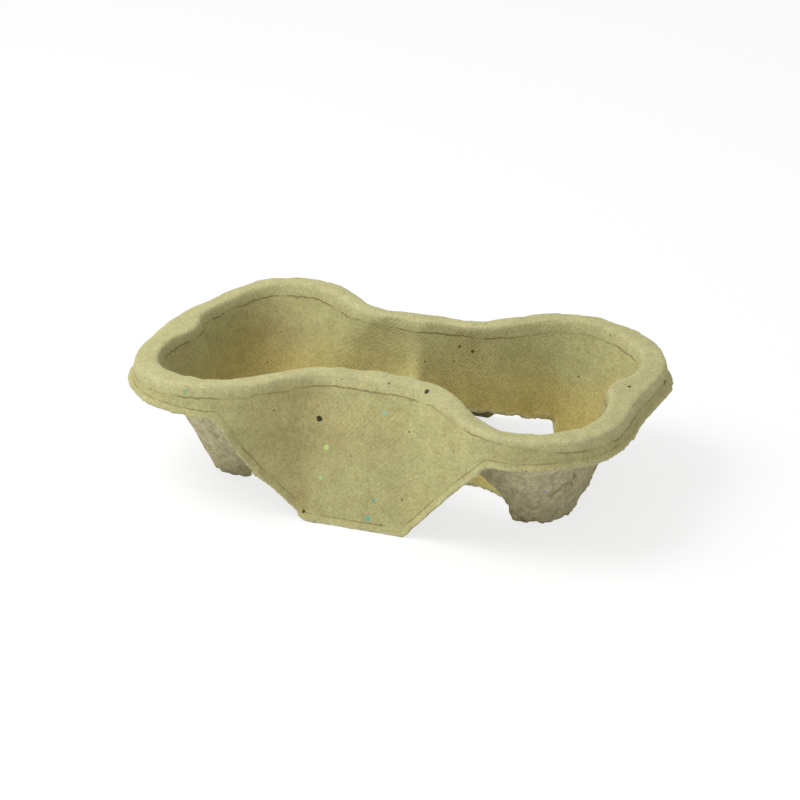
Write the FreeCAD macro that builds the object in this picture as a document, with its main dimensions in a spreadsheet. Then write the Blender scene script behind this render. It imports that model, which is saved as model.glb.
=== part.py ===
"""Two-cup carrier of moulded pulp, one pressed sheet.

The sheet is the space between two closed forms.  The upper form has the smooth
side of the pulp as its skin, and the lower form has the rough side.  Each form is
a drafted block with a pinched waist, less two tapered cup wells that run into each
other over a low divider.  What the press tool trims is cut away afterwards: the
skirt below its edge, and the openings low in the wells.

Frame: X along the carrier, Y across it, Z up, origin on the ground at the centre.
"""
import FreeCAD, Part
import Sketcher
import math
import os

SHEET_NAME = "Dims"
NODE_NAME = "cup_carrier"

DIMENSIONS = [
    # sheet of pulp
    ("pulp_thick", 2.0),
    ("wall_run", 2.15),
    ("divider_run", 2.42),
    # heights
    ("rim_height", 57.0),
    ("rim_bow_radius", 1020.0),
    ("plane_high", 60.0),
    ("skirt_edge_height", 42.0),
    # outside of the rim, on the high plane
    ("outer_high_end", 103.5),
    ("outer_high_corner", 37.2),
    ("outer_high_corner_y", 22.6),
    ("outer_high_waist", 32.8),
    ("outer_high_waist_reach", 12.6),
    ("outer_high_waist_arc", 26.0),
    # the same skin carried down to the ground
    ("outer_low_end", 118.0),
    ("outer_low_corner", 58.0),
    ("outer_low_corner_y", 13.0),
    ("outer_low_waist", 61.0),
    ("outer_low_waist_reach", 19.0),
    ("outer_low_waist_arc", 20.0),
    # inside of a cup well, on the high plane
    ("well_high_end", 99.0),
    ("well_high_corner", 32.5),
    ("well_high_corner_y", 22.6),
    ("well_high_waist", 27.9),
    ("well_high_waist_reach", 13.0),
    ("well_high_waist_arc", 30.0),
    ("well_high_rib_arc", 55.0),
    ("well_high_inner", -15.8),
    ("well_high_inner_arc", 8.0),
    ("bump_depth", 6.0),
    ("bump_arc", 16.0),
    ("bump_blend_arc", 10.0),
    ("bump_half_width", 9.0),
    ("bump_meet", 5.0),
    # inside of a cup well, at its floor
    ("well_low_end", 76.0),
    ("well_low_corner", 13.8),
    ("well_low_corner_y", 12.2),
    ("well_low_waist", 25.0),
    ("well_low_waist_reach", 50.4),
    ("well_low_waist_arc", 30.0),
    ("well_low_rib_arc", 100.0),
    ("well_low_inner", 24.0),
    ("well_low_inner_arc", 10.0),
    ("floor_round", 2.0),
    ("divider_round", 4.0),
    # trimmed edge
    ("panel_foot_reach", 21.0),
    ("panel_top_reach", 57.0),
    ("panel_top_round", 9.0),
    ("lip_width", 1.6),
    ("lip_thick", 1.6),
    # openings low in the wells
    ("arch_inner", 13.0),
    ("arch_outer", 56.5),
    ("arch_height", 18.5),
    ("arch_inner_round", 8.0),
    ("arch_outer_round", 16.0),
    ("arch_half_width", 45.0),
    ("bite_center_x", 31.0),
    ("bite_center_y", 31.0),
    ("bite_radius", 26.0),
    # lengths of the cutting blocks
    ("block_half_length", 130.0),
    ("block_half_width", 90.0),
    ("block_drop", 5.0),
]
VALUE = dict(DIMENSIONS)


def fill_sheet(doc):
    sheet = doc.addObject("Spreadsheet::Sheet", SHEET_NAME)
    for row, (alias, value) in enumerate(DIMENSIONS, start=1):
        sheet.set("A%d" % row, alias)
        sheet.set("B%d" % row, str(value))
        sheet.setAlias("B%d" % row, alias)
    doc.recompute()
    return sheet


class Size:
    """A length of the sheet, with a share of another length added to it."""

    def __init__(self, alias, share=0.0, other="wall_run"):
        self.value = VALUE[alias] + share * VALUE[other]
        self.text = "%s.%s" % (SHEET_NAME, alias)
        if share:
            self.text += " + %g * %s.%s" % (share, SHEET_NAME, other)


def origin_plane(body, role):
    return next(f for f in body.Origin.OriginFeatures if f.Role == role)


def add_sketch(body, name, role, height=None):
    sketch = body.newObject("Sketcher::SketchObject", name)
    sketch.AttachmentSupport = [(origin_plane(body, role), "")]
    sketch.MapMode = "FlatFace"
    if height is not None:
        sketch.setExpression(".AttachmentOffset.Base.z", height)
    return sketch


def point(x, y):
    return FreeCAD.Vector(x, y, 0)


def line(start, end):
    return Part.LineSegment(start, end)


def arc(center, radius, start_angle, end_angle):
    circle = Part.Circle(center, FreeCAD.Vector(0, 0, 1), radius)
    return Part.ArcOfCircle(circle, start_angle, end_angle)


def flare_angle(lobe_center, lobe_radius, waist_center, waist_radius):
    """Direction of the line that touches the lobe from above and the waist arc from below."""
    run = lobe_center.x - waist_center.x
    rise = lobe_center.y - waist_center.y
    reach = (lobe_radius + waist_radius) / math.hypot(run, rise)
    return math.atan2(rise, run) + math.asin(reach)


def constrain(sketch, kind, *rest):
    return sketch.addConstraint(Sketcher.Constraint(kind, *rest))


def drive(sketch, label, kind, geometry, size):
    """One driving dimension: its arguments end with the value, and the sheet holds it."""
    index = constrain(sketch, kind, *geometry, size.value)
    sketch.renameConstraint(index, label)
    sketch.setExpression("Constraints." + label, size.text)


def rim_lobe(end, corner, corner_y, waist, reach, waist_arc):
    """Geometry shared by every outline: waist arc, flare line, lobe arc."""
    lobe_center = point(end.value - corner.value, corner_y.value)
    waist_center = point(reach.value, waist.value + waist_arc.value)
    turn = flare_angle(lobe_center, corner.value, waist_center, waist_arc.value)
    concave = arc(waist_center, waist_arc.value, -math.pi / 2, -math.pi / 2 + turn)
    lobe = arc(lobe_center, corner.value, 0, math.pi / 2 + turn)
    flare = line(concave.EndPoint, lobe.EndPoint)
    return concave, flare, lobe


def outer_outline(body, name, height, level, grow):
    """A quarter of the carrier's outer skin, closed along both axes."""
    end = Size("outer_%s_end" % level, *grow)
    corner = Size("outer_%s_corner" % level, *grow)
    corner_y = Size("outer_%s_corner_y" % level)
    waist = Size("outer_%s_waist" % level, *grow)
    reach = Size("outer_%s_waist_reach" % level)
    waist_arc = Size("outer_%s_waist_arc" % level, -grow[0], grow[1])
    concave, flare, lobe = rim_lobe(end, corner, corner_y, waist, reach, waist_arc)

    sketch = add_sketch(body, name, "XY_Plane", height)
    sketch.addGeometry([
        line(point(0, 0), point(end.value, 0)),
        line(point(end.value, 0), lobe.StartPoint),
        lobe,
        flare,
        concave,
        line(concave.StartPoint, point(0, waist.value)),
        line(point(0, waist.value), point(0, 0)),
    ], False)
    base, end_line, lobe_arc, flare_line, concave_arc, waist_line, middle = range(7)
    constrain(sketch, "Coincident", base, 1, -1, 1)
    constrain(sketch, "Coincident", base, 2, end_line, 1)
    constrain(sketch, "Horizontal", base)
    constrain(sketch, "Tangent", end_line, 2, lobe_arc, 1)
    constrain(sketch, "Tangent", lobe_arc, 2, flare_line, 2)
    constrain(sketch, "Tangent", flare_line, 1, concave_arc, 2)
    constrain(sketch, "Tangent", concave_arc, 1, waist_line, 1)
    constrain(sketch, "Coincident", waist_line, 2, middle, 1)
    constrain(sketch, "Coincident", middle, 2, -1, 1)
    constrain(sketch, "Vertical", end_line)
    constrain(sketch, "Horizontal", waist_line)
    constrain(sketch, "Vertical", middle)
    drive(sketch, "end", "DistanceX", (-1, 1, end_line, 1), end)
    drive(sketch, "corner", "Radius", (lobe_arc,), corner)
    drive(sketch, "corner_y", "DistanceY", (-1, 1, lobe_arc, 3), corner_y)
    drive(sketch, "waist", "DistanceY", (-1, 1, waist_line, 2), waist)
    drive(sketch, "reach", "DistanceX", (-1, 1, concave_arc, 3), reach)
    drive(sketch, "waist_arc", "Radius", (concave_arc,), waist_arc)
    return sketch


def outer_form(doc, name, share, other="wall_run"):
    """The drafted block with the pinched waist, from the ground to above the rim."""
    body = doc.addObject("PartDesign::Body", name)
    grow = (share, other)
    low = outer_outline(body, name + "_ground_line", None, "low", grow)
    high = outer_outline(body, name + "_rim_line", SHEET_NAME + ".plane_high", "high", grow)
    block = body.newObject("PartDesign::AdditiveLoft", name + "_quarter")
    block.Profile = low
    block.Sections = [high]
    block.Ruled = True
    mirror_twice(body, name, block)
    return body


def mirror_twice(body, name, feature):
    """Copies the quarter or half across the carrier, then along it."""
    both = body.newObject("PartDesign::MultiTransform", name + "_mirrored")
    steps = []
    for role in ("XZ_Plane", "YZ_Plane"):
        step = body.newObject("PartDesign::Mirrored", "%s_%s" % (name, role[:2]))
        step.MirrorPlane = (origin_plane(body, role), [""])
        steps.append(step)
    both.Originals = [feature]
    both.Transformations = steps
    body.Tip = both
    return both


def well_outline(body, name, height, level, grow, bump):
    """Half of a cup well's mouth or floor, closed along the X axis."""
    end = Size("well_%s_end" % level, grow)
    corner = Size("well_%s_corner" % level, grow)
    corner_y = Size("well_%s_corner_y" % level)
    waist = Size("well_%s_waist" % level, grow)
    reach = Size("well_%s_waist_reach" % level)
    waist_arc = Size("well_%s_waist_arc" % level, -grow)
    rib_arc = Size("well_%s_rib_arc" % level, grow)
    inner = Size("well_%s_inner" % level, -grow, "divider_run")
    inner_arc = Size("well_%s_inner_arc" % level, grow)
    bump_arc = Size("bump_arc", -grow)
    blend_arc = Size("bump_blend_arc", grow)
    concave, flare, lobe = rim_lobe(end, corner, corner_y, waist, reach, waist_arc)

    rib_center = point(reach.value, waist.value - rib_arc.value)
    inner_x = inner.value + inner_arc.value
    span = rib_arc.value - inner_arc.value
    inner_center = point(inner_x, rib_center.y + math.sqrt(span ** 2 - (inner_x - reach.value) ** 2))
    rib_turn = math.acos((inner_x - reach.value) / span)
    rib = arc(rib_center, rib_arc.value, math.pi / 2, rib_turn)
    inner_corner = arc(inner_center, inner_arc.value, rib_turn, math.pi)

    half_bump = VALUE["bump_half_width"]
    if bump:
        both_arcs = bump_arc.value + blend_arc.value
        half_bump = math.sqrt(both_arcs ** 2 - (both_arcs - VALUE["bump_depth"]) ** 2)
        turn = math.asin(half_bump / both_arcs)
        blend = arc(point(end.value - blend_arc.value, half_bump), blend_arc.value, -turn, 0)
        bump_center = point(end.value - VALUE["bump_depth"] + bump_arc.value, 0)
        swell = arc(bump_center, bump_arc.value, math.pi - turn, math.pi)
    else:
        blend = line(point(end.value, VALUE["bump_meet"]), point(end.value, half_bump))
        swell = line(blend.StartPoint, point(end.value, 0))

    sketch = add_sketch(body, name, "XY_Plane", height)
    sketch.addGeometry([
        line(point(inner.value, 0), inner_corner.EndPoint),
        inner_corner,
        rib,
        concave,
        flare,
        lobe,
        line(lobe.StartPoint, point(end.value, half_bump)),
        blend,
        swell,
        line(swell.EndPoint, point(inner.value, 0)),
    ], False)
    (inner_line, inner_edge, rib_edge, concave_edge, flare_line, lobe_edge,
     end_line, blend_edge, swell_edge, axis_line) = range(10)
    constrain(sketch, "Tangent", inner_line, 2, inner_edge, 2)
    constrain(sketch, "Tangent", inner_edge, 1, rib_edge, 2)
    constrain(sketch, "Tangent", rib_edge, 1, concave_edge, 1)
    constrain(sketch, "Tangent", concave_edge, 2, flare_line, 1)
    constrain(sketch, "Tangent", flare_line, 2, lobe_edge, 2)
    constrain(sketch, "Tangent", lobe_edge, 1, end_line, 1)
    constrain(sketch, "Coincident", axis_line, 2, inner_line, 1)
    constrain(sketch, "PointOnObject", axis_line, 1, -1)
    constrain(sketch, "PointOnObject", axis_line, 2, -1)
    constrain(sketch, "Vertical", inner_line)
    constrain(sketch, "Vertical", end_line)
    drive(sketch, "end", "DistanceX", (-1, 1, end_line, 1), end)
    drive(sketch, "corner", "Radius", (lobe_edge,), corner)
    drive(sketch, "corner_y", "DistanceY", (-1, 1, lobe_edge, 3), corner_y)
    drive(sketch, "waist", "DistanceY", (-1, 1, concave_edge, 1), waist)
    drive(sketch, "reach", "DistanceX", (-1, 1, concave_edge, 1), reach)
    drive(sketch, "reach_center", "DistanceX", (-1, 1, concave_edge, 3), reach)
    drive(sketch, "waist_arc", "Radius", (concave_edge,), waist_arc)
    drive(sketch, "rib_arc", "Radius", (rib_edge,), rib_arc)
    drive(sketch, "inner", "DistanceX", (-1, 1, inner_line, 1), inner)
    drive(sketch, "inner_arc", "Radius", (inner_edge,), inner_arc)
    constrain(sketch, "Coincident", swell_edge, 2, axis_line, 1)
    if bump:
        constrain(sketch, "Tangent", end_line, 2, blend_edge, 2)
        constrain(sketch, "Tangent", blend_edge, 1, swell_edge, 1)
        constrain(sketch, "PointOnObject", swell_edge, 3, -1)
        drive(sketch, "blend_arc", "Radius", (blend_edge,), blend_arc)
        drive(sketch, "bump_arc", "Radius", (swell_edge,), bump_arc)
        drive(sketch, "bump_depth", "DistanceX", (swell_edge, 2, end_line, 1), Size("bump_depth"))
    else:
        constrain(sketch, "Coincident", end_line, 2, blend_edge, 2)
        constrain(sketch, "Coincident", blend_edge, 1, swell_edge, 1)
        constrain(sketch, "Vertical", blend_edge)
        constrain(sketch, "Vertical", swell_edge)
        drive(sketch, "bump_side", "DistanceY", (-1, 1, end_line, 2), Size("bump_half_width"))
        drive(sketch, "bump_meet", "DistanceY", (-1, 1, blend_edge, 1), Size("bump_meet"))
    return sketch


def edges_where(shape, test):
    return ["Edge%d" % i for i, edge in enumerate(shape.Edges, start=1) if test(edge)]


def lies_at_height(edge, height):
    box = edge.BoundBox
    return abs(box.ZMin - height) < 0.01 and abs(box.ZMax - height) < 0.01


def lies_on_middle(edge):
    box = edge.BoundBox
    return abs(box.XMin) < 0.01 and abs(box.XMax) < 0.01


def round_edges(body, name, edges, radius):
    base = body.Tip
    fillet = body.newObject("PartDesign::Fillet", name)
    fillet.Base = (base, edges)
    fillet.setExpression("Radius", radius)
    body.Tip = fillet
    return fillet


def well_form(doc, name, grow):
    """Both cup wells as one closed form, which meet in the saddle over the divider."""
    upper = grow == 0.0
    floor_height = SHEET_NAME + ".pulp_thick" if upper else None
    body = doc.addObject("PartDesign::Body", name)
    low = well_outline(body, name + "_floor_line", floor_height, "low", grow, False)
    high = well_outline(body, name + "_mouth_line", SHEET_NAME + ".plane_high", "high", grow, True)
    half = body.newObject("PartDesign::AdditiveLoft", name + "_half")
    half.Profile = low
    half.Sections = [high]
    half.Ruled = True
    mirror_twice(body, name, half)
    doc.recompute()
    ridge_round = SHEET_NAME + ".divider_round"
    if upper:
        floor = VALUE["pulp_thick"]
        floor_edges = edges_where(body.Tip.Shape, lambda edge: lies_at_height(edge, floor))
        round_edges(body, name + "_floor_round", floor_edges, SHEET_NAME + ".floor_round")
        doc.recompute()
    else:
        ridge_round += " - " + SHEET_NAME + ".pulp_thick"
    round_edges(body, name + "_ridge", edges_where(body.Tip.Shape, lies_on_middle), ridge_round)
    return body


def crown_form(doc, name, drop):
    """Everything under the bowed top of the rim, which stands highest in the middle."""
    radius = VALUE["rim_bow_radius"]
    top = VALUE["rim_height"] - drop * VALUE["pulp_thick"]
    reach = VALUE["block_half_length"]
    center = point(0, top - radius)
    start = math.acos(reach / radius)
    bow = arc(center, radius, start, math.pi - start)
    base = -VALUE["block_drop"]
    body = doc.addObject("PartDesign::Body", name)
    sketch = add_sketch(body, name + "_line", "XZ_Plane")
    sketch.addGeometry([
        line(point(-reach, base), point(reach, base)),
        line(point(reach, base), bow.StartPoint),
        bow,
        line(bow.EndPoint, point(-reach, base)),
    ], False)
    constrain(sketch, "Coincident", 0, 2, 1, 1)
    constrain(sketch, "Coincident", 1, 2, 2, 1)
    constrain(sketch, "Coincident", 2, 2, 3, 1)
    constrain(sketch, "Coincident", 3, 2, 0, 1)
    constrain(sketch, "Horizontal", 0)
    constrain(sketch, "Vertical", 1)
    constrain(sketch, "Vertical", 3)
    constrain(sketch, "PointOnObject", 2, 3, -2)
    drive(sketch, "reach", "DistanceX", (-1, 1, 0, 2), Size("block_half_length"))
    drive(sketch, "reach_left", "DistanceX", (0, 1, -1, 1), Size("block_half_length"))
    drive(sketch, "base", "DistanceY", (0, 2, -1, 1), Size("block_drop"))
    drive(sketch, "bow", "Radius", (2,), Size("rim_bow_radius"))
    drive(sketch, "crown", "DistanceY", (2, 3, -1, 1), Size("rim_bow_radius", -1.0, "rim_height"))
    if drop:
        text = "%s.rim_bow_radius - %s.rim_height + %g * %s.pulp_thick" % (
            SHEET_NAME, SHEET_NAME, drop, SHEET_NAME)
        sketch.setDatum("crown", FreeCAD.Units.Quantity(radius - top))
        sketch.setExpression("Constraints.crown", text)
    pad_both_ways(body, name + "_pad", sketch, "2 * %s.block_half_width" % SHEET_NAME)
    return body


def pad_both_ways(body, name, sketch, length):
    pad = body.newObject("PartDesign::Pad", name)
    pad.Profile = sketch
    pad.setExpression("Length", length)
    pad.Midplane = True
    body.Tip = pad
    return pad


def boolean(doc, kind, name, base, tool):
    result = doc.addObject("Part::" + kind, name)
    result.Base = base
    result.Tool = tool
    return result


def trim_corner(grow):
    """Slope of the panel's side edge, and the arc that turns it into the skirt's edge."""
    foot = VALUE["panel_foot_reach"]
    top = VALUE["panel_top_reach"]
    edge = VALUE["skirt_edge_height"]
    radius = VALUE["panel_top_round"]
    slope = math.atan2(edge, top - foot)
    center = point(top + radius * math.tan(slope / 2), edge - radius)
    return slope, arc(center, radius + grow, math.pi / 2, math.pi / 2 + slope)


def trim_block(doc):
    """What the press trims away, under the skirt and beside both panels."""
    foot = VALUE["panel_foot_reach"]
    edge = VALUE["skirt_edge_height"]
    far = VALUE["block_half_length"]
    drop = VALUE["block_drop"]
    slope, corner = trim_corner(0.0)
    start = point(foot - drop / math.tan(slope), -drop)
    body = doc.addObject("PartDesign::Body", "trimmed_away")
    sketch = add_sketch(body, "trim_line", "XZ_Plane")
    sketch.addGeometry([
        line(start, corner.EndPoint),
        corner,
        line(corner.StartPoint, point(far, edge)),
        line(point(far, edge), point(far, -drop)),
        line(point(far, -drop), start),
    ], False)
    constrain(sketch, "Tangent", 0, 2, 1, 2)
    constrain(sketch, "Tangent", 1, 1, 2, 1)
    constrain(sketch, "Coincident", 2, 2, 3, 1)
    constrain(sketch, "Coincident", 3, 2, 4, 1)
    constrain(sketch, "Coincident", 4, 2, 0, 1)
    constrain(sketch, "Horizontal", 2)
    constrain(sketch, "Vertical", 3)
    constrain(sketch, "Horizontal", 4)
    drive(sketch, "edge", "DistanceY", (-1, 1, 2, 2), Size("skirt_edge_height"))
    drive(sketch, "reach", "DistanceX", (-1, 1, 2, 2), Size("block_half_length"))
    drive(sketch, "drop", "DistanceY", (3, 2, -1, 1), Size("block_drop"))
    drive(sketch, "round", "Radius", (1,), Size("panel_top_round"))
    pad = pad_both_ways(body, "trim_pad", sketch, "2 * %s.block_half_width" % SHEET_NAME)
    mirror_along(body, "trim_mirrored", pad)
    return body


def lip_band(doc):
    """A thin band that follows the trimmed edge, seen from the side."""
    foot = VALUE["panel_foot_reach"]
    edge = VALUE["skirt_edge_height"]
    far = VALUE["block_half_length"]
    thick = VALUE["lip_thick"]
    slope, outside = trim_corner(0.0)
    inside = trim_corner(thick)[1]
    inner_foot = point(foot + thick / math.tan(slope) - thick / math.sin(slope), thick)
    body = doc.addObject("PartDesign::Body", "lip_band")
    sketch = add_sketch(body, "lip_line", "XZ_Plane")
    sketch.addGeometry([
        line(point(0, 0), point(foot, 0)),
        line(point(foot, 0), outside.EndPoint),
        outside,
        line(outside.StartPoint, point(far, edge)),
        line(point(far, edge), point(far, edge + thick)),
        line(point(far, edge + thick), inside.StartPoint),
        inside,
        line(inside.EndPoint, inner_foot),
        line(inner_foot, point(0, thick)),
        line(point(0, thick), point(0, 0)),
    ], False)
    constrain(sketch, "Coincident", 0, 1, -1, 1)
    constrain(sketch, "Coincident", 0, 2, 1, 1)
    constrain(sketch, "Tangent", 1, 2, 2, 2)
    constrain(sketch, "Tangent", 2, 1, 3, 1)
    constrain(sketch, "Coincident", 3, 2, 4, 1)
    constrain(sketch, "Coincident", 4, 2, 5, 1)
    constrain(sketch, "Tangent", 5, 2, 6, 1)
    constrain(sketch, "Tangent", 6, 2, 7, 1)
    constrain(sketch, "Coincident", 7, 2, 8, 1)
    constrain(sketch, "Coincident", 8, 2, 9, 1)
    constrain(sketch, "Coincident", 9, 2, -1, 1)
    for flat in (0, 3, 5, 8):
        constrain(sketch, "Horizontal", flat)
    constrain(sketch, "Vertical", 4)
    constrain(sketch, "Vertical", 9)
    constrain(sketch, "Coincident", 2, 3, 6, 3)
    drive(sketch, "foot", "DistanceX", (-1, 1, 0, 2), Size("panel_foot_reach"))
    drive(sketch, "edge", "DistanceY", (-1, 1, 3, 2), Size("skirt_edge_height"))
    drive(sketch, "reach", "DistanceX", (-1, 1, 3, 2), Size("block_half_length"))
    drive(sketch, "round", "Radius", (2,), Size("panel_top_round"))
    drive(sketch, "thick", "DistanceY", (4, 1, 4, 2), Size("lip_thick"))
    drive(sketch, "thick_foot", "DistanceY", (9, 2, 9, 1), Size("lip_thick"))
    pad = pad_both_ways(body, "lip_pad", sketch, "2 * %s.block_half_width" % SHEET_NAME)
    mirror_along(body, "lip_mirrored", pad)
    return body


def arch_block(doc):
    """Side view of the opening low in each wall of a well, next to the waist."""
    inner = VALUE["arch_inner"]
    outer = VALUE["arch_outer"]
    height = VALUE["arch_height"]
    near = VALUE["arch_inner_round"]
    wide = VALUE["arch_outer_round"]
    drop = VALUE["block_drop"]
    near_arc = arc(point(inner + near, height - near), near, math.pi / 2, math.pi)
    wide_arc = arc(point(outer - wide, height - wide), wide, 0, math.pi / 2)
    body = doc.addObject("PartDesign::Body", "arches")
    sketch = add_sketch(body, "arch_line", "XZ_Plane")
    sketch.addGeometry([
        line(point(inner, -drop), near_arc.EndPoint),
        near_arc,
        line(near_arc.StartPoint, wide_arc.EndPoint),
        wide_arc,
        line(wide_arc.StartPoint, point(outer, -drop)),
        line(point(outer, -drop), point(inner, -drop)),
    ], False)
    constrain(sketch, "Tangent", 0, 2, 1, 2)
    constrain(sketch, "Tangent", 1, 1, 2, 1)
    constrain(sketch, "Tangent", 2, 2, 3, 2)
    constrain(sketch, "Tangent", 3, 1, 4, 1)
    constrain(sketch, "Coincident", 4, 2, 5, 1)
    constrain(sketch, "Coincident", 5, 2, 0, 1)
    constrain(sketch, "Vertical", 0)
    constrain(sketch, "Horizontal", 2)
    constrain(sketch, "Vertical", 4)
    constrain(sketch, "Horizontal", 5)
    drive(sketch, "inner", "DistanceX", (-1, 1, 0, 1), Size("arch_inner"))
    drive(sketch, "outer", "DistanceX", (-1, 1, 4, 2), Size("arch_outer"))
    drive(sketch, "height", "DistanceY", (-1, 1, 2, 1), Size("arch_height"))
    drive(sketch, "drop", "DistanceY", (0, 1, -1, 1), Size("block_drop"))
    drive(sketch, "near", "Radius", (1,), Size("arch_inner_round"))
    drive(sketch, "wide", "Radius", (3,), Size("arch_outer_round"))
    pad = pad_both_ways(body, "arch_pad", sketch, "2 * %s.arch_half_width" % SHEET_NAME)
    mirror_along(body, "arch_mirrored", pad)
    return body


def bite_block(doc):
    """Plan view of the same openings, which leave a tongue of floor in each well."""
    body = doc.addObject("PartDesign::Body", "bites")
    sketch = add_sketch(body, "bite_line", "XY_Plane", "-%s.block_drop" % SHEET_NAME)
    center = point(VALUE["bite_center_x"], VALUE["bite_center_y"])
    sketch.addGeometry(Part.Circle(center, FreeCAD.Vector(0, 0, 1), VALUE["bite_radius"]), False)
    drive(sketch, "center_x", "DistanceX", (-1, 1, 0, 3), Size("bite_center_x"))
    drive(sketch, "center_y", "DistanceY", (-1, 1, 0, 3), Size("bite_center_y"))
    drive(sketch, "round", "Radius", (0,), Size("bite_radius"))
    pad = body.newObject("PartDesign::Pad", "bite_pad")
    pad.Profile = sketch
    pad.setExpression("Length", "%s.skirt_edge_height" % SHEET_NAME)
    mirror_twice(body, "bites", pad)
    return body


def mirror_along(body, name, feature):
    mirrored = body.newObject("PartDesign::Mirrored", name)
    mirrored.Originals = [feature]
    mirrored.MirrorPlane = (origin_plane(body, "YZ_Plane"), [""])
    body.Tip = mirrored
    return mirrored


def pressed_form(doc, name, block, wells, drop):
    """One closed form: the drafted block under its crown, less both cup wells."""
    capped = boolean(doc, "Common", name + "_capped", block, crown_form(doc, name + "_crown", drop))
    return boolean(doc, "Cut", name + "_form", capped, wells)


def trimmed_lip(doc, lower_block):
    """The narrow lip that turns outwards along the skirt's edge and the panels' edges."""
    outside = outer_form(doc, "lip_block", 1.0, "lip_width")
    ring = boolean(doc, "Cut", "lip_ring", outside, lower_block)
    return boolean(doc, "Common", "lip", ring, lip_band(doc))


def check(doc):
    """Stops the build where a feature failed or a shape isn't one sound solid."""
    for item in doc.Objects:
        if "Invalid" in item.State or "Error" in item.State:
            raise RuntimeError("%s did not build: %s" % (item.Name, item.State))
    shape = doc.getObject(NODE_NAME).Shape
    if shape.isNull() or not shape.isValid() or len(shape.Solids) != 1:
        raise RuntimeError("%s is not one sound solid" % NODE_NAME)


def main():
    doc = FreeCAD.newDocument("CupCarrier")
    fill_sheet(doc)
    upper_block = outer_form(doc, "upper_block", 0.0)
    upper_wells = well_form(doc, "upper_wells", 0.0)
    lower_block = outer_form(doc, "lower_block", -1.0)
    lower_wells = well_form(doc, "lower_wells", 1.0)
    upper_form = pressed_form(doc, "upper", upper_block, upper_wells, 0.0)
    lower_form = pressed_form(doc, "lower", lower_block, lower_wells, 1.0)
    sheet = boolean(doc, "Cut", "pressed_sheet", upper_form, lower_form)

    waste = boolean(doc, "Cut", "waste", trim_block(doc), lower_wells)
    trimmed = boolean(doc, "Cut", "trimmed_sheet", sheet, waste)
    lipped = boolean(doc, "Fuse", "lipped_sheet", trimmed, trimmed_lip(doc, lower_block))
    openings = boolean(doc, "Common", "openings", arch_block(doc), bite_block(doc))
    carrier = boolean(doc, "Cut", NODE_NAME, lipped, openings)
    carrier.Label = NODE_NAME
    doc.recompute()
    check(doc)

    os.makedirs("parts", exist_ok=True)
    carrier.Shape.exportStep("parts/%s.step" % carrier.Label)


main()
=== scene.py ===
"""Two-cup carrier of moulded pulp, dressed over its CAD model."""
import math
import bpy
import numpy as np
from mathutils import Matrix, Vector


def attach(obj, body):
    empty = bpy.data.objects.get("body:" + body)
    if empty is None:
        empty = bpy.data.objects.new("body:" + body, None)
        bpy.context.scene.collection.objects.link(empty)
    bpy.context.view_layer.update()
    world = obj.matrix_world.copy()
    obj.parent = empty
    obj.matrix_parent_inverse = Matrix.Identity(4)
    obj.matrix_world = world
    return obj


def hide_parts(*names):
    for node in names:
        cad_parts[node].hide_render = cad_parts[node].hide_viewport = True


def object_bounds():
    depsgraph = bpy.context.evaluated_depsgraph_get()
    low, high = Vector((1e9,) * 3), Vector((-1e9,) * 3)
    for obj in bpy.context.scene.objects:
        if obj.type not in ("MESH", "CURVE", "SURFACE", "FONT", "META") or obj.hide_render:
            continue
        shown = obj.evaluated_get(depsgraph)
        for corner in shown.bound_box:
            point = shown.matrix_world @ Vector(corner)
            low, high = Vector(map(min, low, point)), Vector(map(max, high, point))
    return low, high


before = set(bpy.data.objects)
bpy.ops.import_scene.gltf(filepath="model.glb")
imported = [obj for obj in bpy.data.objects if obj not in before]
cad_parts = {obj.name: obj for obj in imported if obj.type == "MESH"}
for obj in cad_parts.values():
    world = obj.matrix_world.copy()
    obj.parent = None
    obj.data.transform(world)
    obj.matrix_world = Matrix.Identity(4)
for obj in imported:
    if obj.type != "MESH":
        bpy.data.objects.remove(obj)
cad_low, cad_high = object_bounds()


# Camera
# It looks down on the front panel from a little to the right, from so far away that
# lines hardly converge.
look_at = Vector((0.0, 0.0, 0.0322))
camera_azimuth = math.radians(19.2)
camera_elevation = math.radians(25.3)
camera_distance = 0.95
pixels_per_metre = 2420
sensor_width = 36.0
image_width = 800

bpy.ops.object.select_all(action="DESELECT")
towards_camera = Vector((
    math.sin(camera_azimuth) * math.cos(camera_elevation),
    -math.cos(camera_azimuth) * math.cos(camera_elevation),
    math.sin(camera_elevation),
))
bpy.ops.object.camera_add(location=look_at + camera_distance * towards_camera)
camera = bpy.context.active_object
camera.name = "camera"
camera.rotation_euler = towards_camera.to_track_quat("Z", "Y").to_euler()
camera.data.sensor_width = sensor_width
camera.data.lens = pixels_per_metre * camera_distance * sensor_width / image_width
bpy.context.scene.camera = camera


# Floor and light
# A white floor under soft daylight: an even sky, and one broad lamp from the upper left.
floor_size = 6.0
floor_color = (0.93, 0.93, 0.93, 1.0)
floor_whitening = 0.75
sky_strength = 0.60
lamp_place = Vector((-0.60, -0.30, 1.05))
lamp_size = 0.7
lamp_power = 12.0

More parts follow.
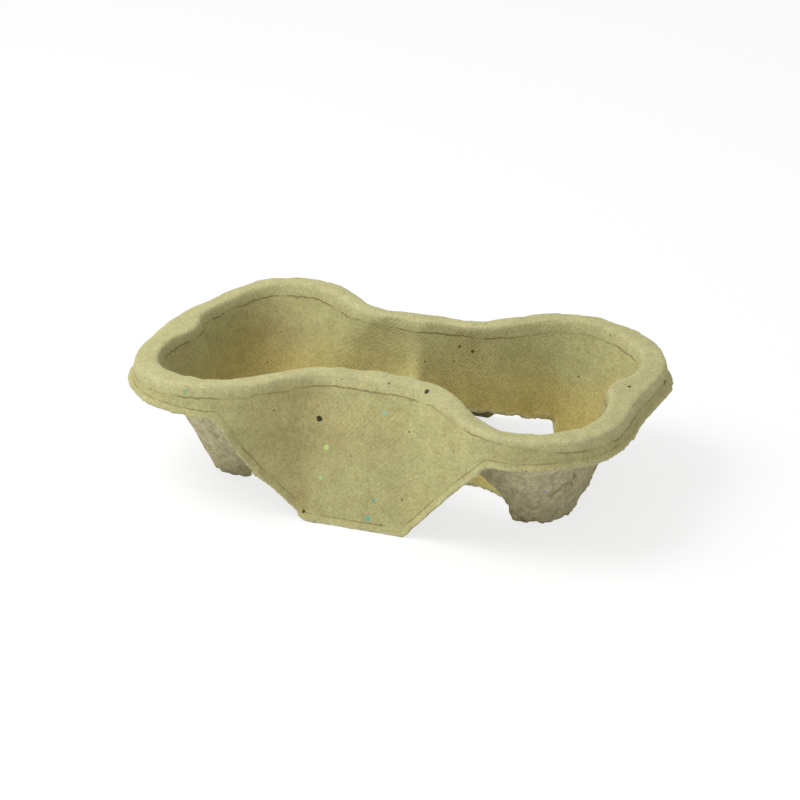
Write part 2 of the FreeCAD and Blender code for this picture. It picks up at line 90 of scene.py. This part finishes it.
bpy.ops.object.select_all(action="DESELECT")
bpy.ops.mesh.primitive_plane_add(size=floor_size, location=(0, 0, 0))
floor = bpy.context.active_object
floor.name = "floor"
floor_paint = bpy.data.materials.new("floor_paint")
floor_paint.use_nodes = True
nodes = floor_paint.node_tree.nodes
links = floor_paint.node_tree.links
nodes.clear()
matt = nodes.new("ShaderNodeBsdfDiffuse")
matt.inputs["Color"].default_value = floor_color
white = nodes.new("ShaderNodeEmission")
white.inputs["Color"].default_value = (1.0, 1.0, 1.0, 1.0)
white.inputs["Strength"].default_value = 1.0
rays = nodes.new("ShaderNodeLightPath")
share = nodes.new("ShaderNodeMath")
share.operation = "MULTIPLY"
share.inputs[1].default_value = floor_whitening
blend = nodes.new("ShaderNodeMixShader")
surface = nodes.new("ShaderNodeOutputMaterial")
links.new(rays.outputs["Is Camera Ray"], share.inputs[0])
links.new(share.outputs[0], blend.inputs["Fac"])
links.new(matt.outputs[0], blend.inputs[1])
links.new(white.outputs[0], blend.inputs[2])
links.new(blend.outputs[0], surface.inputs["Surface"])
floor.data.materials.append(floor_paint)

sky = bpy.data.worlds.new("sky")
sky.use_nodes = True
sky.node_tree.nodes["Background"].inputs["Color"].default_value = (1.0, 1.0, 1.0, 1.0)
sky.node_tree.nodes["Background"].inputs["Strength"].default_value = sky_strength
bpy.context.scene.world = sky

bpy.ops.object.light_add(type="AREA", location=lamp_place)
lamp = bpy.context.active_object
lamp.name = "window_light"
lamp.rotation_euler = (lamp_place - look_at).to_track_quat("Z", "Y").to_euler()
lamp.data.size = lamp_size
lamp.data.energy = lamp_power

bpy.context.scene.view_settings.view_transform = "Standard"


# Pressed sheet
# The whole carrier is one sheet of wet pulp, pressed on a wire screen and dried: smooth
# on the screen's side, rough below, with soft corners everywhere.
weld_distance = 0.00001
pulp_cell = 0.00121
softening = 4
softening_share = 0.5
torn_low = (0.030, 0.014, -0.002)
torn_high = (0.0575, 0.046, 0.0178)

bpy.ops.object.select_all(action="DESELECT")
cad_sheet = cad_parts["cup_carrier"]
sheet = bpy.data.objects.new("pulp_sheet", cad_sheet.data.copy())
bpy.context.collection.objects.link(sheet)
sheet.select_set(True)
bpy.context.view_layer.objects.active = sheet
bpy.ops.object.mode_set(mode="EDIT")
bpy.ops.mesh.select_all(action="SELECT")
bpy.ops.mesh.remove_doubles(threshold=weld_distance)
bpy.ops.object.mode_set(mode="OBJECT")

# One opening, at the back of the right well, tore out squarer than the others.
bpy.ops.object.select_all(action="DESELECT")
middle = [(low + high) / 2.0 for low, high in zip(torn_low, torn_high)]
bpy.ops.mesh.primitive_cube_add(size=1.0, location=middle)
torn_out = bpy.context.active_object
torn_out.scale = [high - low for low, high in zip(torn_low, torn_high)]
bpy.context.view_layer.objects.active = sheet
tear = sheet.modifiers.new("tear", "BOOLEAN")
tear.operation = "DIFFERENCE"
tear.solver = "EXACT"
tear.object = torn_out
bpy.ops.object.modifier_apply(modifier=tear.name)
bpy.data.objects.remove(torn_out)

remesh = sheet.modifiers.new("even_cells", "REMESH")
remesh.mode = "VOXEL"
remesh.voxel_size = pulp_cell
remesh.use_smooth_shade = True
bpy.ops.object.modifier_apply(modifier=remesh.name)

soften = sheet.modifiers.new("soften", "SMOOTH")
soften.factor = softening_share
soften.iterations = softening
bpy.ops.object.modifier_apply(modifier=soften.name)


# Out of true
# Wet pulp dries out of shape. The front panel grew wider on its left and leans in at its
# foot, the ends, the right leg and the skirt were pushed in, and the rim sagged on the right.
panel_foot_front = -0.061
panel_lean = 0.472
panel_foot_reach = 0.021
panel_widening = 0.857
panel_top = 0.038
panel_push = 0.0060
panel_spread_heights = (0.0, 0.010, 0.017, 0.029, panel_top)
panel_spreads = (0.0006, 0.0021, 0.0047, 0.0034, 0.0)
panel_skin_fade = (0.0042, 0.0026)
panel_side_margin = 0.003
underside_tilt = 0.12
hand_pushes = [
    ((-0.102, 0.036, 0.048), 0.036, (0.0052, -0.0030, 0.0)),
    ((0.108, -0.016, 0.045), 0.050, (-0.0044, 0.0008, 0.0)),
    ((0.086, -0.028, 0.022), 0.030, (-0.0036, 0.0004, 0.0)),
    ((-0.070, -0.062, 0.043), 0.045, (0.0, 0.0008, 0.0004)),
    ((0.058, -0.050, 0.054), 0.036, (0.0, 0.0, -0.0030)),
]


def read_points():
    flat = np.empty(3 * len(sheet.data.vertices))
    sheet.data.vertices.foreach_get("co", flat)
    return flat.reshape(-1, 3)


def read_normals():
    flat = np.empty(3 * len(sheet.data.vertices), dtype=np.float32)
    sheet.data.vertex_normals.foreach_get("vector", flat)
    return flat.reshape(-1, 3)


def write_points(points):
    kept = np.clip(points, np.array(cad_low), np.array(cad_high))
    sheet.data.vertices.foreach_set("co", kept.ravel())
    sheet.data.update()


def ramp(values, start, end):
    """Rises smoothly from 0 at start to 1 at end."""
    share = np.clip((values - start) / (end - start), 0.0, 1.0)
    return share * share * (3.0 - 2.0 * share)


def nudge(place, reach, move):
    """Moves the points near a place by a given move, less the further they are from it."""
    points = read_points()
    distance = np.linalg.norm(points - np.array(place), axis=1)
    points += ramp(distance, reach, 0.0)[:, None] * np.array(move)
    write_points(points)


rough_side = ramp(-read_normals()[:, 2], 0.0, underside_tilt)
pressed = read_points()
points = pressed.copy()
front_of_panel = panel_foot_front + panel_lean * points[:, 2]
panel_reach = panel_foot_reach + panel_widening * points[:, 2]
on_panel = ramp(points[:, 1] - front_of_panel, *panel_skin_fade)
on_panel *= np.abs(points[:, 0]) < panel_reach + panel_side_margin
push_in = np.interp(points[:, 2], (0.0, panel_top), (panel_push, 0.0))
spread = np.interp(points[:, 2], panel_spread_heights, panel_spreads)
points[:, 0] += on_panel * spread * np.minimum(points[:, 0], 0.0) / panel_reach
points[:, 1] += on_panel * push_in
write_points(points)
for pushed, reach, move in hand_pushes:
    nudge(pushed, reach, move)


# Uneven surface
# The screen's side shrinks in shallow waves, and the fibres stand up on the other side.
# The rim and the trimmed edges wander a little, as no edge of pulp is straight.
wave_cell = 0.016
wave_height = 0.0008
lump_cell = 0.0032
lump_height = 0.0007
edge_cell = 0.009
edge_height = 0.0013
rim_height = 0.057
rim_bow_radius = 1.02
rim_fade = (0.012, 0.002)
least_weight = 0.01
cloud_depth = 2


def depth_below_rim(points):
    """How far each point lies below the bowed top of the rim."""
    return rim_height - points[:, 0] ** 2 / (2.0 * rim_bow_radius) - points[:, 2]


def weigh(name, weights):
    """Adds a vertex group with one weight for each point of the sheet."""
    group = sheet.vertex_groups.new(name=name)
    for index in np.nonzero(weights > least_weight)[0]:
        group.add([int(index)], float(weights[index]), "REPLACE")
    return group.name


def rough_up(group, basis, cell, height, direction):
    """Displaces the points of a group by clouds of one cell size."""
    clouds = bpy.data.textures.new(group + "_clouds", "CLOUDS")
    clouds.noise_basis = basis
    clouds.noise_scale = cell
    clouds.noise_depth = cloud_depth
    push = sheet.modifiers.new(group + "_push", "DISPLACE")
    push.texture = clouds
    push.texture_coords = "LOCAL"
    push.vertex_group = group
    push.direction = direction
    push.strength = height
    push.mid_level = 0.5
    bpy.ops.object.modifier_apply(modifier=push.name)


points = read_points()
everywhere = weigh("everywhere", np.ones(len(points)))
rim = weigh("rim", ramp(depth_below_rim(points), *rim_fade))
underside = weigh("underside", rough_side)
rough_up(everywhere, "BLENDER_ORIGINAL", wave_cell, wave_height, "NORMAL")
rough_up(rim, "IMPROVED_PERLIN", edge_cell, edge_height, "Z")
rough_up(rim, "ORIGINAL_PERLIN", edge_cell, edge_height, "Y")
rough_up(underside, "IMPROVED_PERLIN", lump_cell, lump_height, "NORMAL")


# Trimmed and torn edges
# The press trims the skirt and the panels, and tears the pulp out at the four openings.
# A lip turns outwards along the trim, and the feet and the openings have ragged edges.
panel_top_reach = 0.057
skirt_edge_height = 0.042
opening_inner = 0.013
opening_outer = 0.0565
opening_height = 0.0185
bite_center = 0.031
bite_radius = 0.026
tear_reach = 0.005
tear_cell = 0.004
tear_height = 0.0045
foot_height = 0.006
foot_reach = 0.040
well_end_start = 0.060
well_half_width = 0.045

side, across = np.abs(pressed[:, 0]), np.abs(pressed[:, 1])
height = pressed[:, 2]
slope = math.atan2(skirt_edge_height, panel_top_reach - panel_foot_reach)
above_side = height * math.cos(slope) - (side - panel_foot_reach) * math.sin(slope)
above_trim = np.minimum(height, np.maximum(above_side, height - skirt_edge_height))
beyond_arch = np.maximum(np.maximum(opening_inner - side, side - opening_outer),
                         height - opening_height)
beyond_bite = np.hypot(side - bite_center, across - bite_center) - bite_radius
from_opening = np.maximum(beyond_arch, beyond_bite)
on_well = np.hypot(np.maximum(side - well_end_start, 0.0), across) < well_half_width
torn = ramp(np.abs(from_opening), tear_reach, 0.0) * on_well
feet = ramp(height, foot_height, 0.0) * (across < foot_reach)
torn_edge = weigh("torn_edge", np.maximum(torn, feet))
rough_up(torn_edge, "IMPROVED_PERLIN", tear_cell, tear_height, "Z")
rough_up(torn_edge, "ORIGINAL_PERLIN", tear_cell, tear_height, "X")

# Nothing stands outside the box of the CAD model.
write_points(read_points())

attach(sheet, "root")
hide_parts("cup_carrier")


# Pulp
# Recycled fibre: olive and smooth where it lay on the screen, greyer and rough below,
# with flecks of dark and coloured paper all through. Painted shade browns its hollows,
# creases, cracks and some patches, and painted light lifts the rim top, the convex edges
# and the deep walls of the wells.
smooth_color = (0.402, 0.388, 0.180, 1.0)
tan_color = (0.362, 0.306, 0.136, 1.0)
# Painted light: a warmer, lighter colour for the walls deep in the wells.
well_bounce_light_color = (0.455, 0.378, 0.134, 1.0)
rough_color = (0.475, 0.432, 0.264, 1.0)
# Painted shade: a dark brown for the creases and the cracks.
crease_shade_color = (0.190, 0.135, 0.055, 1.0)
speck_color = (0.060, 0.042, 0.022, 1.0)
# Painted highlight: a paler colour for the rim top and the convex edges.
painted_highlight_color = (0.500, 0.475, 0.262, 1.0)
crease_depth = 0.0044
crease_half_width = 0.00046
crease_wander = 0.0024
lip_depth = 0.0028
lip_half_width = 0.00035
lip_wander = 0.0006
well_side_fade = (0.046, 0.036)
skirt_start = 0.9 * foot_reach
above_all_trim = 1.0
hollow_passes = 12
weave_pitch = 3000.0
weave_wobble = 2.5
flecks = [
    ((-0.0191, -0.0427, 0.0401), 0.00115, (0.010, 0.009, 0.008)),
    ((0.0239, -0.0369, 0.0561), 0.00110, (0.020, 0.015, 0.010)),
    ((0.0225, 0.0275, 0.0459), 0.00085, (0.080, 0.045, 0.015)),
    ((0.0169, 0.0271, 0.0475), 0.00060, (0.090, 0.055, 0.020)),
    ((0.0960, 0.0019, 0.0522), 0.00090, (0.050, 0.030, 0.015)),
    ((0.1059, 0.0215, 0.0473), 0.00090, (0.120, 0.060, 0.025)),
    ((0.0067, -0.0513, 0.0120), 0.00085, (0.130, 0.360, 0.300)),
    ((0.0050, -0.0537, 0.0048), 0.00100, (0.120, 0.400, 0.340)),
    ((-0.0694, -0.0602, 0.0520), 0.00100, (0.240, 0.400, 0.190)),
    ((-0.0151, -0.0458, 0.0294), 0.00115, (0.450, 0.620, 0.200)),
    ((-0.0164, -0.0496, 0.0175), 0.00090, (0.380, 0.560, 0.250)),
    ((0.0073, -0.0397, 0.0456), 0.00080, (0.280, 0.470, 0.360)),
    ((0.0719, -0.0334, 0.0184), 0.00090, (0.480, 0.270, 0.430)),
    ((-0.0220, -0.0546, 0.0037), 0.00075, (0.060, 0.040, 0.015)),
]
# Browner patches: those in the back corners of the wells, beside the divider and on the upper
# left of the front panel are painted shade; the small one low on the panel's left is a
# browner patch.
painted_shade_and_brown_patches = [
    ((-0.0250, -0.0520, 0.0100), 0.0090, 0.45),
    ((0.0533, 0.0327, 0.0234), 0.0200, 0.60),
    ((0.0210, 0.0285, 0.0500), 0.0130, 0.40),
    ((-0.0729, 0.0371, 0.0282), 0.0300, 0.90),
    ((-0.0280, -0.0460, 0.0350), 0.0440, 0.50),
]


def store(name, values):
    """Keeps one number for each point of the sheet, for its material to read."""
    attribute = sheet.data.attributes.new(name, "FLOAT", "POINT")
    attribute.data.foreach_set("value", values.astype(np.float32))


def hollowness():
    """How far each point lies below its neighbours, smoothed over the sheet."""
    points = read_points()
    normals = read_normals()
    pairs = np.empty(2 * len(sheet.data.edges), dtype=np.int32)
    sheet.data.edges.foreach_get("vertices", pairs)
    first, second = pairs.reshape(-1, 2).T
    count = np.bincount(pairs, minlength=len(points))

    def neighbour_mean(values):
        total = np.bincount(first, values[second], len(points))
        return (total + np.bincount(second, values[first], len(points))) / count

    around = np.stack([neighbour_mean(points[:, axis]) for axis in range(3)], axis=1)
    depth = np.sum((around - points) * normals, axis=1)
    for _ in range(hollow_passes):
        depth = 0.5 * depth + 0.5 * neighbour_mean(depth)
    return depth


points = read_points()
below_rim = depth_below_rim(points)
store("below_rim", below_rim)
store("rough_side", rough_side)
store("well_depth", below_rim * ramp(np.abs(points[:, 1]), *well_side_fade))
outwards = np.sum(points[:, :2] * read_normals()[:, :2], axis=1) > 0.0
outside = outwards & (across > skirt_start)
store("above_trim", np.where(outside, above_trim, above_all_trim))
store("hollow", hollowness() / pulp_cell)

pulp = bpy.data.materials.new("moulded_pulp")
pulp.use_nodes = True
nodes = pulp.node_tree.nodes
links = pulp.node_tree.links
shader = nodes["Principled BSDF"]
shader.inputs["Roughness"].default_value = 0.95
shader.inputs["Specular IOR Level"].default_value = 0.12


def add_node(kind, inputs, **settings):
    """Adds a node to the pulp, and sets or links its inputs by name or number."""
    made = nodes.new(kind)
    for name, value in settings.items():
        setattr(made, name, value)
    for name, value in inputs.items():
        if isinstance(value, bpy.types.NodeSocket):
            links.new(value, made.inputs[name])
        else:
            made.inputs[name].default_value = value
    return made


def compute(operation, *values):
    numbered = dict(enumerate(values))
    return add_node("ShaderNodeMath", numbered, operation=operation).outputs[0]


def rise(value, start, end, low=0.0, high=1.0):
    """Maps a value to a smooth step from low at start to high at end."""
    inputs = {
        "Value": value, "From Min": start, "From Max": end,
        "To Min": low, "To Max": high,
    }
    made = add_node("ShaderNodeMapRange", inputs, interpolation_type="SMOOTHSTEP")
    return made.outputs["Result"]


def noise(scale, detail=3.0, distortion=0.0):
    inputs = {"Vector": place, "Scale": scale, "Detail": detail, "Distortion": distortion}
    return add_node("ShaderNodeTexNoise", inputs).outputs["Fac"]


def tint(share, below, above):
    """Lays one colour over another by a share from 0 to 1."""
    inputs = {0: share, 6: below, 7: above}
    return add_node("ShaderNodeMix", inputs, data_type="RGBA").outputs[2]


def stored(name):
    return add_node("ShaderNodeAttribute", {}, attribute_name=name).outputs["Fac"]


def specks(cells, radius, share_kept):
    """Round specks: one in the middle of some of the cells, each of its own size."""
    inputs = {"Vector": place, "Scale": cells, "Randomness": 1.0}
    voronoi = add_node("ShaderNodeTexVoronoi", inputs, feature="F1")
    chance = add_node("ShaderNodeSeparateColor", {0: voronoi.outputs["Color"]})
    kept = rise(chance.outputs[0], 1.0 - share_kept, 1.0 - 0.8 * share_kept)
    size = compute("MULTIPLY", compute("MULTIPLY_ADD", chance.outputs[1], 0.7, 0.3), kept)
    size = compute("MULTIPLY", size, radius * cells)
    inside = compute("SUBTRACT", size, voronoi.outputs["Distance"])
    return rise(inside, 0.0, 0.25 * radius * cells)


def line_at(value, depth, half_width, wander):
    """A thin line where a value passes a depth, wandering and broken up."""
    uneven = compute("MULTIPLY_ADD", noise(110.0, 4.0), wander, depth - 0.5 * wander)
    uneven = compute("MULTIPLY_ADD", noise(420.0, 3.0), 0.5 * wander, uneven)
    away = compute("ABSOLUTE", compute("SUBTRACT", value, uneven))
    line = rise(away, half_width, 0.3 * half_width)
    return compute("MULTIPLY", line, rise(noise(70.0, 3.0), 0.40, 0.56, 0.25, 1.0))


place = add_node("ShaderNodeTexCoord", {}).outputs["Object"]
underneath = stored("rough_side")
on_top = compute("SUBTRACT", 1.0, underneath)
hollow = stored("hollow")

mottle = rise(noise(42.0, 4.0, 0.6), 0.38, 0.66)
stain_and_shade = compute("MULTIPLY", mottle, 0.28)
stain_and_shade = compute("ADD", stain_and_shade, rise(noise(330.0, 3.0), 0.42, 0.68, 0.0, 0.38))
# Painted shade: the hollows of the sheet are browned where shade gathers in them.
stain_and_shade = compute("ADD", stain_and_shade, rise(hollow, 0.004, 0.05, 0.0, 0.65))
# Browner patches on the smooth side, most of them painted shade.
for middle, reach, strength in painted_shade_and_brown_patches:
    gap = add_node("ShaderNodeVectorMath", {0: place, 1: middle}, operation="DISTANCE")
    around = rise(gap.outputs["Value"], reach, 0.0, 0.0, strength)
    stain_and_shade = compute("ADD", stain_and_shade, compute("MULTIPLY", around, on_top))
stain_and_shade = compute("MINIMUM", stain_and_shade, 1.0)
color = tint(stain_and_shade, smooth_color, tan_color)
# Painted light: the walls deep in the wells are tinted warmer and lighter, for the light
# bouncing inside them.
color = tint(rise(stored("well_depth"), 0.002, 0.040, 0.0, 0.95), color, well_bounce_light_color)
# Painted highlight: a lighter band along the top of the rim.
color = tint(rise(stored("below_rim"), 0.0055, 0.0025, 0.0, 0.35), color, painted_highlight_color)
color = tint(underneath, color, rough_color)
# Painted highlight: convex edges and ridges are lightened.
color = tint(rise(hollow, -0.01, -0.10, 0.0, 0.5), color, painted_highlight_color)

grain = noise(950.0, 4.0)
fibre = compute("ABSOLUTE", compute("SUBTRACT", noise(420.0, 2.0, 1.5), 0.5))
fibre = rise(fibre, 0.020, 0.004)
shade = rise(grain, 0.25, 0.75, 0.86, 1.14)
shade = compute("MULTIPLY", shade, rise(noise(150.0, 4.0), 0.3, 0.7, 0.94, 1.06))
shade = compute("ADD", shade, compute("MULTIPLY", fibre, 0.05))
rough_grain = rise(noise(380.0, 5.0), 0.30, 0.70, 0.80, 1.14)
shade = compute("MULTIPLY", shade, compute(
    "ADD", on_top, compute("MULTIPLY", underneath, rough_grain)))
inputs = {0: color, "Scale": shade}
color = add_node("ShaderNodeVectorMath", inputs, operation="SCALE").outputs[0]

# Painted shade: dark lines along the fold below the rim and along the lip of the trim.
rim_crease_shade = compute("MULTIPLY", on_top, line_at(
    stored("below_rim"), crease_depth, crease_half_width, crease_wander))
lip_crease_shade = line_at(stored("above_trim"), lip_depth, lip_half_width, lip_wander)
crease_shade = compute("MAXIMUM", rim_crease_shade, compute("MULTIPLY", lip_crease_shade, 0.8))
color = tint(compute("MULTIPLY", crease_shade, 0.7), color, crease_shade_color)

inputs = {"Vector": place, "Scale": 120.0, "Randomness": 1.0}
plates = add_node("ShaderNodeTexVoronoi", inputs, feature="DISTANCE_TO_EDGE")
shaded_crack = rise(plates.outputs["Distance"], 0.035, 0.005)
shaded_crack = compute("MULTIPLY", shaded_crack, rise(noise(60.0, 2.0), 0.50, 0.62))
shaded_crack = compute("MULTIPLY", shaded_crack, underneath)
# Painted shade: the cracks of the rough underside are darkened.
color = tint(compute("MULTIPLY", shaded_crack, 0.6), color, crease_shade_color)

fine_specks = specks(cells=640.0, radius=0.00034, share_kept=0.34)
color = tint(compute("MULTIPLY", fine_specks, 0.50), color, speck_color)
dark_specks = specks(cells=260.0, radius=0.00052, share_kept=0.34)
color = tint(compute("MULTIPLY", dark_specks, 0.80), color, speck_color)
for spot, radius, fleck_color in flecks:
    gap = add_node("ShaderNodeVectorMath", {0: place, 1: spot}, operation="DISTANCE")
    ragged = compute("MULTIPLY_ADD", grain, 0.9 * radius, gap.outputs["Value"])
    inside = rise(ragged, 1.55 * radius, 1.25 * radius)
    color = tint(compute("MULTIPLY", inside, 0.9), color, (*fleck_color, 1.0))

screen = []
for lean in (1.0, -1.0):
    along = (lean, lean, 1.3)
    turned = add_node("ShaderNodeVectorMath", {0: place, 1: along}, operation="DOT_PRODUCT")
    wobble = compute("MULTIPLY", noise(180.0, 2.0), weave_wobble)
    phase = compute("MULTIPLY_ADD", turned.outputs["Value"], weave_pitch, wobble)
    screen.append(compute("SINE", phase))
weave = compute("MULTIPLY", compute("MAXIMUM", screen[0], screen[1]), on_top)
weave = compute("MULTIPLY", weave, rise(noise(38.0, 2.0), 0.36, 0.62, 0.2, 1.0))
relief = compute("MULTIPLY", weave, 0.25)
relief = compute("ADD", relief, grain)
relief = compute("ADD", relief, compute("MULTIPLY", compute(
    "MULTIPLY", underneath, noise(300.0, 5.0, 0.5)), 2.2))
relief = compute("SUBTRACT", relief, compute("MULTIPLY", crease_shade, 0.9))
relief = compute("SUBTRACT", relief, compute("MULTIPLY", shaded_crack, 1.6))
bump = add_node("ShaderNodeBump", {"Strength": 0.55, "Distance": 0.00035, "Height": relief})

links.new(color, shader.inputs["Base Color"])
links.new(bump.outputs["Normal"], shader.inputs["Normal"])
sheet.data.materials.clear()
sheet.data.materials.append(pulp)

print("triangles", sum(len(p.vertices) - 2 for p in sheet.data.polygons))
